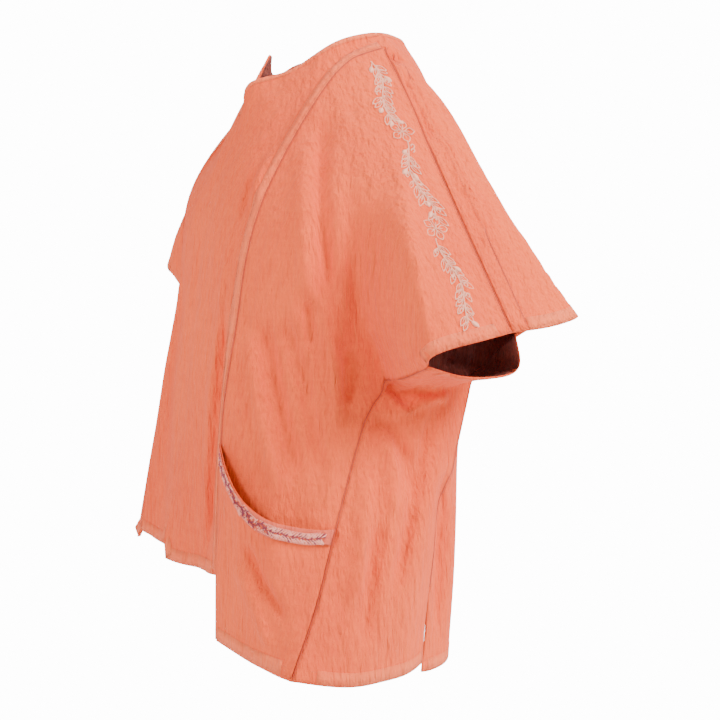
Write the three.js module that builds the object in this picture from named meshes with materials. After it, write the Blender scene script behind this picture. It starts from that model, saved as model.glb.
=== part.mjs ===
// Smock top with deep dolman sleeves, standing open as it is worn.
// Millimetres, +Z up, the front faces -Y and the wearer's left is +X.
// The origin is between the two neck points, at the top of the shoulders.
import * as THREE from "three";

// ---- driving dimensions ----
const WALL = 2; // cloth wall of the panels
const SEAM_GAP = 0.3; // clear space between two panels at a seam
const STEPS = 3; // mesh steps between two neighbouring lines of the cut
const LAYER_WALL = 1.6; // cloth wall of pockets and bands
const LAYER_LIFT = 2.6; // middle of a layer above the middle of the panel under it
const BAND_WALL = 1.2; // embroidered pocket band
const BAND_LIFT = 2.8; // middle of the band above the middle of the pocket
const BAND_WIDTH = 17; // along the pocket mouth
const OVERARM_BAND = 20; // width of the felled strip along the overarm seam
const OVERARM_LIFT = 2.3; // middle of the strip above the middle of the back
const POCKET_GAPE = 18; // how far the pocket mouth stands off the panel
const GAPE_AT = 0.3; // share of the way from the princess seam where it stands off most
const GAPE_DEPTH = 0.6; // share of the pocket's depth where it lies flat again
const POCKET_INSET = 1.5; // pocket edges inside the panel's edges
const POCKET_HEM_UP = 0.1; // mesh steps from the pocket's end to the hem
const POCKET_MOUTH = [[5.27], [5.82], [5.98], [5.98]]; // level at the princess, ridge, recess and arm lines
const RIGHT_ARM_FORWARD = 36; // the right arm hangs this much further forward
const RIGHT_ARM_RAISE = 22; // and its cuff is this much higher
const RIGHT_HEM_LIFT = 48; // the right side front ends this much higher beside its princess seam
const RIGHT_HEM_DROP = 30; // the centre front is this much longer beside its right princess seam
const RIGHT_FRONT_BACK = 23; // the right side front lies this much nearer the body
const RIGHT_HIP_IN = 26; // the right hip is this much narrower
const RIGHT_NECK_DROP = 34; // the neck has slipped down this much on the right
const CHEST_PULL = 0.35; // share by which the right arm's top lies back again

// ---- colours ----
const CLOTH = 0xe98d70;
const BAND = 0xe0a191;

// ---- the largest folds: a trough is negative, a ridge positive ----
const FOLDS = [
  { depth: -9, width: 20, path: [[118, -222, -310], [165, -208, -420], [222, -186, -570]] },
  { depth: -7, width: 18, path: [[150, -200, -300], [205, -160, -400], [240, -165, -500]] },
  { depth: -8, width: 24, path: [[62, -222, -330], [62, -246, -650]] },
  { depth: -8, width: 24, path: [[-62, -222, -330], [-62, -246, -650]] },
  { depth: -6, width: 18, path: [[-170, -170, -330], [-205, -200, -640]] },
  { depth: -10, width: 30, path: [[55, 112, -230], [75, 84, -770]] },
  { depth: -10, width: 30, path: [[-50, 112, -230], [-90, 80, -770]] },
  { depth: -8, width: 24, path: [[150, 76, -260], [165, 44, -770]] },
  { depth: -8, width: 24, path: [[-160, 76, -260], [-160, 44, -770]] },
  { depth: -7, width: 20, path: [[248, -62, -440], [283, -120, -730]] },
  { depth: -7, width: 20, path: [[-248, -62, -440], [-262, -120, -730]] },
];
const BODY_AXIS_Y = -60; // folds run in and out from this line
const HIP_SHARE = 0.55; // share of the right hem's lift that is lost towards the side
const SLIP_BACK = 0.65; // how far the slipped neck moves back, as a share of its drop
const SLIP_OUT = 0.6; // and how far it moves out

// ---- the lines of the cut, left half; x, y, z at each level from the top down ----
const UPPER = ["overarm", "collar", "chest", "lowArm", "armpit"];
const LOWER = ["waist", "pocket", "lowHip", "hem"];
const LEVELS = [...UPPER, ...LOWER];
const LINES = {
  princess: {
    overarm: [100, -10, -20], collar: [101, -76, -49], chest: [108, -172, -184],
    lowArm: [115, -211, -295], armpit: [119, -229, -385], waist: [121, -239, -443],
    pocket: [125, -249, -556], lowHip: [127, -254, -631], hem: [129, -257, -713],
  },
  ridge: {
    overarm: [124, -8, -48], collar: [130, -66, -78], chest: [144, -157, -188],
    lowArm: [156, -189, -297], armpit: [168, -197, -387], waist: [176, -209, -443],
    pocket: [184, -226, -556], lowHip: [192, -237, -641], hem: [192, -243, -717],
  },
  recess: {
    overarm: [152, -5, -81], collar: [163, -58, -105], chest: [180, -134, -192],
    lowArm: [194, -146, -300], armpit: [204, -134, -391], waist: [211, -158, -442],
    pocket: [222, -194, -556], lowHip: [233, -215, -641], hem: [238, -232, -717],
  },
  armLine: {
    overarm: [196, -5, -137], collar: [206, -48, -152], chest: [216, -92, -200],
    lowArm: [211, -102, -306], armpit: [212, -74, -397], waist: [221, -107, -441],
    pocket: [244, -158, -556], lowHip: [256, -190, -640], hem: [265, -227, -714],
  },
  sleeve: {
    overarm: [262, -4, -216], collar: [272, -46, -228], chest: [284, -86, -240],
    lowArm: [292, -97, -322], armpit: [262, -84, -385],
  },
  cuff: {
    overarm: [346, 5, -327], collar: [347, -36, -332], chest: [342, -72, -338],
    lowArm: [334, -93, -347], armpit: [321, -86, -360],
  },
};

// front panel between the princess seams: share of the way out to them, neck edge and collar level.
// The notch corners stand apart: the left one juts forward, the right one stands up.
const FRONT_LINES = [
  { share: 0.0, neck: [0, -145, -90], collar: [0, -166, -126] },
  { share: 0.14, neck: [10, -146, -60], collar: [17, -160, -114], rightNeck: [-17, -104, -26] },
  { share: 0.42, neck: [45, -108, -47], collar: [50, -146, -101], rightNeck: [-36, -94, -47] },
  { share: 0.66, neck: [74, -72, -18], collar: [75, -120, -82] },
  { share: 0.8, neck: [80, -42, -6], collar: [85, -99, -64] },
  { share: 0.9, neck: [81, -4, -2], collar: [93, -87, -55] },
];
const CENTRE_FRONT = {
  chest: [0, -199, -207], lowArm: [0, -215, -303], armpit: [0, -229, -387],
  waist: [0, -238, -447], pocket: [0, -254, -562], lowHip: [0, -270, -650],
};
const FRONT_SWELL = { chest: 5, lowArm: 7, armpit: 7, waist: 5, pocket: -3, lowHip: -10 };

// side panel: its four lines from the cuff, along the under-sleeve, round the armpit and down to the hem
const SIDE_ROWS = [
  { mid: [318, -30, -379], back: [306, 47, -382] },
  { mid: [268, -44, -394], back: [259, 36, -398] },
  { mid: [231, -48, -413], back: [229, 0, -414] },
  { mid: [243, -62, -448], back: [240, -15, -452] },
  { mid: [270, -102, -556], back: [270, -56, -556] },
  { mid: [282, -134, -642], back: [284, -82, -644] },
  { mid: [287, -169, -726], back: [290, -108, -732] },
];
const SIDE_BACK_HEM = [262, -50, -737]; // the side panel ends above the back, beside the slit

// back, left half: its lines from the overarm seam down; the neck edge is the top of the first three
const BACK_LINES = {
  centre: {
    overarm: [0, 68, -16], collar: [0, 90, -72], chest: [0, 112, -190],
    lowArm: [0, 118, -300], armpit: [0, 117, -400], waist: [0, 114, -460],
    pocket: [0, 106, -570], lowHip: [0, 100, -665], hem: [0, 98, -772],
  },
  neck: {
    overarm: [46, 50, -8], collar: [54, 80, -62], chest: [58, 110, -188],
    lowArm: [60, 112, -300], armpit: [62, 106, -400], waist: [64, 100, -460],
    pocket: [68, 90, -570], lowHip: [70, 84, -665], hem: [72, 81, -772],
  },
  neckPoint: {
    overarm: [81, -4, -2], collar: [92, 58, -60], chest: [104, 95, -188],
    lowArm: [108, 94, -302], armpit: [112, 84, -401], waist: [116, 76, -459],
    pocket: [124, 70, -570], lowHip: [128, 63, -665], hem: [131, 58, -768],
  },
  shoulder: {
    overarm: [100, -10, -20], collar: [113, 48, -66], chest: [134, 82, -188],
    lowArm: [142, 78, -303], armpit: [146, 72, -402], waist: [150, 62, -458],
    pocket: [160, 56, -570], lowHip: [167, 46, -665], hem: [172, 40, -767],
  },
  ridge: {
    overarm: [124, -8, -48], collar: [138, 52, -82], chest: [164, 68, -190],
    lowArm: [176, 62, -305], armpit: [180, 60, -404], waist: [184, 43, -457],
    pocket: [196, 37, -569], lowHip: [206, 28, -664], hem: [212, 20, -760],
  },
  recess: {
    overarm: [152, -5, -81], collar: [172, 52, -110], chest: [196, 62, -196],
    lowArm: [202, 54, -308], armpit: [206, 53, -406], waist: [211, 32, -456],
    pocket: [226, 18, -568], lowHip: [236, 7, -661], hem: [241, -6, -757],
  },
  armLine: {
    overarm: [196, -5, -137], collar: [216, 50, -156], chest: [232, 64, -212],
    lowArm: [226, 56, -312], armpit: [220, 42, -409], waist: [229, 25, -455],
    pocket: [247, -18, -566], lowHip: [256, -40, -652], hem: [262, -54, -750],
  },
  sleeve: {
    overarm: [262, -4, -216], collar: [282, 50, -226], chest: [294, 80, -262],
    lowArm: [278, 82, -322], armpit: [252, 49, -376],
  },
  cuff: {
    overarm: [346, 5, -327], collar: [352, 58, -324], chest: [346, 98, -318],
    lowArm: [318, 90, -321], armpit: [300, 46, -341],
  },
};
const SLIT_HALF = 4; // the side slit opens this far each way at the hem

// ---- small helpers ----
const lerp = (a, b, t) => a + (b - a) * t;
const mix = (p, q, t) => p.map((a, i) => lerp(a, q[i], t));
const smooth = (t) => {
  const c = Math.min(1, Math.max(0, t));
  return c * c * (3 - 2 * c);
};

/** Point on a Catmull-Rom curve through the given points, at t counted in points. */
function along(points, t) {
  const last = points.length - 1;
  const i = Math.min(last - 1, Math.max(0, Math.floor(t)));
  const f = t - i;
  const p1 = points[i];
  const p2 = points[i + 1];
  const p0 = i > 0 ? points[i - 1] : mix(p1, p2, -1);
  const p3 = i + 2 <= last ? points[i + 2] : mix(p2, p1, -1);
  return p1.map((a, k) => {
    const slope1 = (p2[k] - p0[k]) / 2;
    const slope2 = (p3[k] - p1[k]) / 2;
    const rise = p2[k] - a;
    return a + f * (slope1 + f * (3 * rise - 2 * slope1 - slope2 + f * (slope1 + slope2 - 2 * rise)));
  });
}

// ---- how the right half differs from the mirrored left ----
const window = (v, from, to) => smooth((v - from) / (to - from));
function place(side, [x, y, z]) {
  if (side > 0) return [x, y, z];
  const above = window(z, -520, -410);
  const front = window(-y, 40, 160);
  const beside = window(x, 10, 120) * (1 - window(x, 200, 280));
  const narrower = RIGHT_HIP_IN * window(x, 130, 260) * window(-z, 480, 700);
  const slipped = RIGHT_NECK_DROP * window(160 - x, 0, 110) * window(x, 8, 60) * window(z, -150, -60);
  const outward = SLIP_OUT * slipped * window(-y, -40, 20) - narrower;
  const forward = RIGHT_ARM_FORWARD * above * window(x, 150, 310) * (1 - CHEST_PULL * window(z, -320, -220));
  const backward = RIGHT_FRONT_BACK * beside * front * window(-z, 170, 330) * window(z, -700, -370);
  const raised = RIGHT_ARM_RAISE * above * window(x, 200, 340);
  const lifted = RIGHT_HEM_LIFT * front * window(-z, 600, 710) * (1 - HIP_SHARE * window(x, 128, 258));
  const aroundHip = window(-z, 560, 630) * window(z, -710, -640);
  const lowered = RIGHT_HEM_DROP * front * aroundHip * window(x, 10, 70) * window(-x, -240, -128);
  return [-(x + outward), y - forward + backward + SLIP_BACK * slipped, z + raised + lifted - lowered - slipped];
}

/** Distance from a point to a path of straight stretches. */
function distanceTo(path, p) {
  const stretches = path.slice(1).map((b, i) => {
    const a = path[i];
    const span = sub(b, a);
    const reach = dot(span, sub(p, a)) / dot(span, span);
    const t = Math.min(1, Math.max(0, reach));
    return Math.hypot(...p.map((c, k) => c - a[k] - t * span[k]));
  });
  return Math.min(...stretches);
}

/** Moves a point of the cloth in or out by the folds near it. */
function folded(p) {
  const push = FOLDS.reduce((sum, { depth, width, path }) => {
    return sum + depth * Math.exp(-((distanceTo(path, p) / width) ** 2));
  }, 0);
  const reach = Math.hypot(p[0], p[1] - BODY_AXIS_Y);
  return [p[0] + (push * p[0]) / reach, p[1] + (push * (p[1] - BODY_AXIS_Y)) / reach, p[2]];
}

// ---- sheets: rows of points, each row starting at a column number ----
const upTo = (line, names) => names.filter((name) => line[name]).map((name) => line[name]);

/** Rows through lines that run down the cloth; a short line ends its columns early. */
function loft(lines) {
  const longest = Math.max(...lines.map((line) => line.length));
  const rows = [];
  for (let j = 0; j <= (longest - 1) * STEPS; j++) {
    const t = j / STEPS;
    const reach = lines.filter((line) => line.length - 1 >= t);
    const knots = reach.map((line) => along(line, t));
    const count = (knots.length - 1) * STEPS;
    const points = Array.from({ length: count + 1 }, (_, i) => folded(along(knots, i / STEPS)));
    rows.push({ start: 0, points });
  }
  return rows;
}
const at = (rows, j, i) => rows[j].points[i - rows[j].start];
const put = (rows, j, i, p) => {
  rows[j].points[i - rows[j].start] = p;
};

/** Joins the mirrored half and the half, which share their first column. */
function joined(right, left) {
  return left.map((row, j) => {
    const far = right[j].points.slice(1).reverse();
    return { start: -far.length, points: [...far, ...row.points] };
  });
}

function frontHalf(side) {
  const levels = ["chest", "lowArm", "armpit", "waist", "pocket", "lowHip"];
  const lines = FRONT_LINES.map(({ share, collar }) => [
    null,
    collar,
    ...levels.map((level) => {
      const edge = LINES.princess[level];
      const [, y, z] = mix(CENTRE_FRONT[level], edge, share * share);
      return [edge[0] * share, y - FRONT_SWELL[level] * Math.sin(Math.PI * share), z];
    }),
  ]);
  const placed = lines.map((line) => line.map((p) => p && place(side, p)));
  FRONT_LINES.forEach(({ neck, rightNeck }, i) => {
    placed[i][0] = side < 0 && rightNeck ? rightNeck : place(side, neck);
  });
  placed.push(upTo(LINES.princess, ["overarm", "collar", ...levels]).map((p) => place(side, p)));
  return loft(placed);
}

function sideFront(side) {
  const { princess, ridge, recess, armLine, sleeve, cuff } = LINES;
  const lines = [princess, ridge, recess, armLine, sleeve, cuff];
  return loft(lines.map((line) => upTo(line, LEVELS).map((p) => place(side, p))));
}

function backHalf(side) {
  const lines = Object.values(BACK_LINES);
  return loft(lines.map((line) => upTo(line, LEVELS).map((p) => place(side, p))));
}

function sidePanel(side) {
  const seam = (lines, hem) => [
    lines.cuff.armpit, lines.sleeve.armpit,
    ...["armpit", "waist", "pocket", "lowHip"].map((level) => lines.armLine[level]),
    hem,
  ];
  const front = seam(LINES, LINES.armLine.hem);
  const back = seam(BACK_LINES, SIDE_BACK_HEM);
  const lines = [front, SIDE_ROWS.map((r) => r.mid), SIDE_ROWS.map((r) => r.back), back];
  return loft(lines.map((line) => line.map((p) => place(side, p))));
}

// ---- shared seams: the second sheet takes the first one's points ----
const COLUMNS = { princess: 0, armLine: 3 * STEPS, cuff: 5 * STEPS };
const BACK_COLUMNS = { neckPoint: 2 * STEPS, shoulder: 3 * STEPS, armLine: 6 * STEPS, cuff: 8 * STEPS };
const FRONT_COLUMNS = { neckPoint: 5 * STEPS, princess: 6 * STEPS };
const ROWS = { overarm: 0, armpit: 4 * STEPS, lowHip: 7 * STEPS, hem: 8 * STEPS };
const SIDE_SEAM_ROWS = { armpit: 2 * STEPS, lowHip: 5 * STEPS, hem: 6 * STEPS };

function shareSeams(front, sideRows, side, back) {
  for (let j = 0; j <= ROWS.lowHip; j++) {
    put(front, j, FRONT_COLUMNS.princess, at(sideRows, j, COLUMNS.princess));
  }
  for (let i = 0; i <= COLUMNS.cuff; i++) {
    put(back, 0, BACK_COLUMNS.shoulder + i, at(sideRows, 0, i));
  }
  for (let i = 0; i <= STEPS; i++) {
    put(back, 0, BACK_COLUMNS.neckPoint + i, at(front, 0, FRONT_COLUMNS.neckPoint + i));
  }
  const lastColumn = 3 * STEPS;
  for (let k = 0; k <= SIDE_SEAM_ROWS.hem; k++) {
    const under = k < SIDE_SEAM_ROWS.armpit;
    const down = ROWS.armpit + k - SIDE_SEAM_ROWS.armpit;
    put(side, k, 0, under ? at(sideRows, ROWS.armpit, COLUMNS.cuff - k) : at(sideRows, down, COLUMNS.armLine));
    const rear = under
      ? at(back, ROWS.armpit, BACK_COLUMNS.cuff - k)
      : at(back, down, BACK_COLUMNS.armLine);
    if (k <= SIDE_SEAM_ROWS.lowHip) put(side, k, lastColumn, rear);
  }
}

// ---- faces and normals ----
function facesOf(rows, flip) {
  const faces = [];
  for (let j = 0; j + 1 < rows.length; j++) {
    const from = Math.max(rows[j].start, rows[j + 1].start);
    const to = Math.min(rows[j].start + rows[j].points.length, rows[j + 1].start + rows[j + 1].points.length);
    for (let i = from; i + 1 < to; i++) {
      const quad = [[j, i], [j + 1, i], [j + 1, i + 1], [j, i + 1]];
      faces.push(flip ? quad.reverse() : quad);
    }
  }
  return faces;
}
const sub = (p, q) => p.map((a, k) => a - q[k]);
const add = (p, q, s = 1) => p.map((a, k) => a + s * q[k]);
const dot = (p, q) => p[0] * q[0] + p[1] * q[1] + p[2] * q[2];
const cross = (p, q) => [p[1] * q[2] - p[2] * q[1], p[2] * q[0] - p[0] * q[2], p[0] * q[1] - p[1] * q[0]];
const unit = (p) => {
  const size = Math.hypot(...p) || 1;
  return p.map((a) => a / size);
};
const key = (p) => p.map((a) => Math.round(a * 100)).join(",");

/** One normal for each place on the garment, shared by the panels that meet there. */
function sharedNormals(sheets) {
  const normals = new Map();
  for (const { rows, faces } of sheets) {
    for (const face of faces) {
      const [a, b, c, d] = face.map(([j, i]) => at(rows, j, i));
      const n = cross(sub(c, a), sub(d, b));
      for (const p of [a, b, c, d]) {
        normals.set(key(p), add(normals.get(key(p)) ?? [0, 0, 0], n));
      }
    }
  }
  return (p) => unit(normals.get(key(p)));
}

/** A closed wall round a sheet: trim is how far each border point is drawn back into the cloth. */
function wall(sheet, normalAt, thickness, trim) {
  const { rows, faces } = sheet;
  const index = new Map();
  const points = [];
  const id = ([j, i]) => {
    const name = `${j},${i}`;
    if (!index.has(name)) {
      index.set(name, points.length);
      points.push({ j, i, p: at(rows, j, i), n: normalAt(at(rows, j, i), j, i) });
    }
    return index.get(name);
  };
  const quads = faces.map((face) => face.map(id));
  const border = new Map();
  for (const quad of quads) {
    quad.forEach((a, k) => {
      const b = quad[(k + 1) % 4];
      if (!border.delete(`${b}>${a}`)) border.set(`${a}>${b}`, [a, b, quad]);
    });
  }
  const inward = new Map();
  for (const [a, b, quad] of border.values()) {
    const middle = quad.reduce((sum, v) => add(sum, points[v].p, 0.25), [0, 0, 0]);
    const edge = sub(points[b].p, points[a].p);
    for (const v of [a, b]) {
      const across = cross(points[v].n, edge);
      const towards = dot(across, sub(middle, points[v].p)) < 0 ? -1 : 1;
      inward.set(v, add(inward.get(v) ?? [0, 0, 0], unit(across), towards));
    }
  }
  for (const [v, way] of inward) {
    const { p, n, j, i } = points[v];
    const flat = unit(add(way, n, -dot(way, n)));
    points[v].p = add(p, flat, trim(j, i));
  }
  const position = [];
  for (const side of [0.5, -0.5]) {
    for (const { p, n } of points) position.push(...add(p, n, side * thickness));
  }
  const inner = points.length;
  const triangles = [];
  for (const [a, b, c, d] of quads) {
    triangles.push(a, b, c, a, c, d);
    triangles.push(inner + c, inner + b, inner + a, inner + d, inner + c, inner + a);
  }
  for (const [a, b] of border.values()) triangles.push(b, a, inner + a, b, inner + a, inner + b);
  const geometry = new THREE.BufferGeometry();
  geometry.setAttribute("position", new THREE.Float32BufferAttribute(position, 3));
  geometry.setIndex(triangles);
  geometry.computeVertexNormals();
  return geometry;
}

// ---- what lies on a panel: its points, moved out ----
/** Place and normal on a sheet between its points; j and i may be fractions. */
function onSheet(rows, normalAt, j, i) {
  const j0 = Math.min(rows.length - 2, Math.floor(j));
  const i0 = Math.min(rows[j0].start + rows[j0].points.length - 2, Math.floor(i));
  const [u, v] = [i - i0, j - j0];
  const corners = [[j0, i0], [j0, i0 + 1], [j0 + 1, i0], [j0 + 1, i0 + 1]].map(([a, b]) => at(rows, a, b));
  const blend = ([a, b, c, d]) => mix(mix(a, b, u), mix(c, d, u), v);
  return { p: blend(corners), n: unit(blend(corners.map(normalAt))) };
}

/** A layer over a sheet: place(u, v) gives row, column and lift for u across and v down. */
function layer(rows, normalAt, across, down, place, flip) {
  const spots = down.map((v) =>
    across.map((u) => {
      const { j, i, lift } = place(u, v);
      const { p, n } = onSheet(rows, normalAt, j, i);
      return { p: add(p, n, lift), n };
    }),
  );
  const sheet = { rows: spots.map((row) => ({ start: 0, points: row.map((spot) => spot.p) })) };
  sheet.faces = facesOf(sheet.rows, flip);
  sheet.normalAt = (p, j, i) => spots[j][i].n;
  return sheet;
}
const shares = (count) => Array.from({ length: count + 1 }, (_, k) => k / count);

// ---- the garment ----
const group = new THREE.Group();
const cloth = { color: CLOTH, roughness: 0.9, metalness: 0 };
function addPiece(name, geometry, look = cloth) {
  const mesh = new THREE.Mesh(geometry, new THREE.MeshStandardMaterial(look));
  mesh.name = name;
  group.add(mesh);
}

const front = { left: frontHalf(1), right: frontHalf(-1) };
const back = { left: backHalf(1), right: backHalf(-1) };
const sides = { left: 1, right: -1 };
const sideFronts = {};
const sidePanels = {};
for (const [name, side] of Object.entries(sides)) {
  sideFronts[name] = sideFront(side);
  sidePanels[name] = sidePanel(side);
  shareSeams(front[name], sideFronts[name], sidePanels[name], back[name]);
}
const sheets = {
  centre_front: { rows: joined(front.right, front.left), flip: false },
  back: { rows: joined(back.right, back.left), flip: true },
};
for (const [name, side] of Object.entries(sides)) {
  sheets[`side_front_${name}`] = { rows: sideFronts[name], flip: side < 0 };
  sheets[`side_panel_${name}`] = { rows: sidePanels[name], flip: side < 0 };
}
for (const sheet of Object.values(sheets)) sheet.faces = facesOf(sheet.rows, sheet.flip);
const normalAt = sharedNormals(Object.values(sheets));

const HALF_GAP = SEAM_GAP / 2 + 0.05;
/** The slit opens towards the hem, on the last column of a side panel and the arm line of the back. */
const slitTrim = (share) => HALF_GAP + (SLIT_HALF - HALF_GAP) * smooth(share * 2);
/** Where the cloth turns sharply under the arm, the edges stand a little further apart. */
const armpitTrim = (row) => HALF_GAP + 0.8 * Math.max(0, 1 - Math.abs(row) / 3);
const trims = {
  side_panel: (j, i) => {
    const atSlit = i === 3 * STEPS && j > SIDE_SEAM_ROWS.lowHip;
    return atSlit ? slitTrim((j - SIDE_SEAM_ROWS.lowHip) / STEPS) : armpitTrim(j - SIDE_SEAM_ROWS.armpit);
  },
  back: (j, i) => {
    const atSlit = Math.abs(i) === BACK_COLUMNS.armLine && j > ROWS.lowHip;
    return atSlit ? slitTrim((j - ROWS.lowHip) / STEPS) : HALF_GAP;
  },
};
for (const [name, sheet] of Object.entries(sheets)) {
  const trim = trims[name.replace(/_(left|right)$/, "")] ?? (() => HALF_GAP);
  addPiece(name, wall(sheet, normalAt, WALL, trim));
}

// pocket over the left side front, and the embroidered band along its mouth
const pocketColumns = shares(COLUMNS.armLine);
const pocketRows = [0, 0.06, 0.12, 0.2, 0.3, 0.4, 0.55, 0.7, 0.85, 1];
const mouthRow = (share) => STEPS * along(POCKET_MOUTH, share * (POCKET_MOUTH.length - 1))[0];
/** The mouth hangs open most near the princess seam, and closes to the panel further down. */
function gape(share, v) {
  const open = (share / GAPE_AT) * Math.exp(1 - share / GAPE_AT) * (1 - share ** 4);
  return POCKET_GAPE * open * Math.max(0, 1 - v / GAPE_DEPTH) ** 2;
}
const pocketPanel = sideFronts.left;
const pocketSpot = (share, v) => ({
  j: lerp(mouthRow(share), ROWS.hem - POCKET_HEM_UP, v),
  i: share * COLUMNS.armLine,
  lift: LAYER_LIFT + gape(share, v),
});
const pocket = layer(pocketPanel, normalAt, pocketColumns, pocketRows, pocketSpot, false);
addPiece("pocket_left", wall(pocket, pocket.normalAt, LAYER_WALL, () => POCKET_INSET));
/** How deep the pocket is from its mouth to the hem. */
function pocketDepth(share) {
  const [mouth, hem] = [mouthRow(share), ROWS.hem].map(
    (row) => onSheet(pocketPanel, normalAt, row, share * COLUMNS.armLine).p,
  );
  return Math.hypot(...sub(mouth, hem));
}
const bandSpot = (share, v) => {
  const under = pocketSpot(share, (v * BAND_WIDTH) / pocketDepth(share));
  return { ...under, lift: under.lift + BAND_LIFT };
};
const band = layer(pocketPanel, normalAt, pocketColumns, [0, 0.5, 1], bandSpot, false);
addPiece("pocket_band_left", wall(band, band.normalAt, BAND_WALL, () => POCKET_INSET), {
  ...cloth,
  color: BAND,
});

// felled strips along the overarm seams, on the back's side of them
for (const [name, side] of Object.entries(sides)) {
  const rows = back[name];
  const [first, last] = [BACK_COLUMNS.shoulder, BACK_COLUMNS.cuff];
  const stripSpot = (share, v) => {
    const i = lerp(first, last, share);
    const reach = Math.hypot(...sub(onSheet(rows, normalAt, 1, i).p, onSheet(rows, normalAt, 0, i).p));
    return { j: (v * OVERARM_BAND) / reach, i, lift: OVERARM_LIFT };
  };
  const strip = layer(rows, normalAt, shares(last - first), [0.06, 0.5, 1], stripSpot, side > 0);
  addPiece(`overarm_band_${name}`, wall(strip, strip.normalAt, BAND_WALL, () => HALF_GAP));
}

export default group;
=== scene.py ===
"""Looks of the smock top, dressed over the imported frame. Metres, +Z up, the front faces -Y."""

import math
import random

import bmesh
import bpy
import numpy as np
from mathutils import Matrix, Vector
from mathutils.bvhtree import BVHTree


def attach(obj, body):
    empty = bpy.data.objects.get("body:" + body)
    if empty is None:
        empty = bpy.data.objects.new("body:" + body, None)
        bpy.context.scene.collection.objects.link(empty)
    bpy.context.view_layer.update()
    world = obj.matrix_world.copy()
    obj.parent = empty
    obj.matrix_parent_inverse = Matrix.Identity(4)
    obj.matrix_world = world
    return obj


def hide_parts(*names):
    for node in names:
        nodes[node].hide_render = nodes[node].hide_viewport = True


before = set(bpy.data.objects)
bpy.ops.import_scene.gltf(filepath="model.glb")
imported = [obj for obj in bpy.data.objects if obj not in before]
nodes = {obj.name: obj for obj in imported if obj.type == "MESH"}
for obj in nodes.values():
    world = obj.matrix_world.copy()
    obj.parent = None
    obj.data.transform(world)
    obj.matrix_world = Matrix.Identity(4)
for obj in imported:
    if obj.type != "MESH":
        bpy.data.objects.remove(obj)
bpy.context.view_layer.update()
MM = 0.001
FOLD_SEED = 7
rng = random.Random(FOLD_SEED)

# ---- the camera, which also places the creases named in photo pixels ----
CAMERA_AZIMUTH = math.radians(60)
CAMERA_PITCH = math.radians(12.2)
CAMERA_DISTANCE = 1.57
CAMERA_Z = -0.082
CAMERA_SIDEWAYS = 0.013
FOCAL_PX = 1198
PHOTO_PX = 720
RIGHT = Vector((math.cos(CAMERA_AZIMUTH), math.sin(CAMERA_AZIMUTH), 0))
TOWARDS = Vector((math.sin(CAMERA_AZIMUTH), -math.cos(CAMERA_AZIMUTH), 0))
EYE = TOWARDS * CAMERA_DISTANCE + RIGHT * CAMERA_SIDEWAYS + Vector((0, 0, CAMERA_Z))
LOOK = -TOWARDS * math.cos(CAMERA_PITCH) + Vector((0, 0, -math.sin(CAMERA_PITCH)))
UP = RIGHT.cross(LOOK)


def to_photo(points):
    """Photo pixels of points, an array of rows of x, y, z."""
    away = points - np.array(EYE)
    depth = away @ np.array(LOOK)
    px = PHOTO_PX / 2 + FOCAL_PX * (away @ np.array(RIGHT)) / depth
    py = PHOTO_PX / 2 - FOCAL_PX * (away @ np.array(UP)) / depth
    return np.stack([px, py], axis=1)


def ray(px, py):
    """Direction from the eye through a photo pixel."""
    across = (px - PHOTO_PX / 2) / FOCAL_PX
    rise = (PHOTO_PX / 2 - py) / FOCAL_PX
    return (LOOK + RIGHT * across + UP * rise).normalized()


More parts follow.
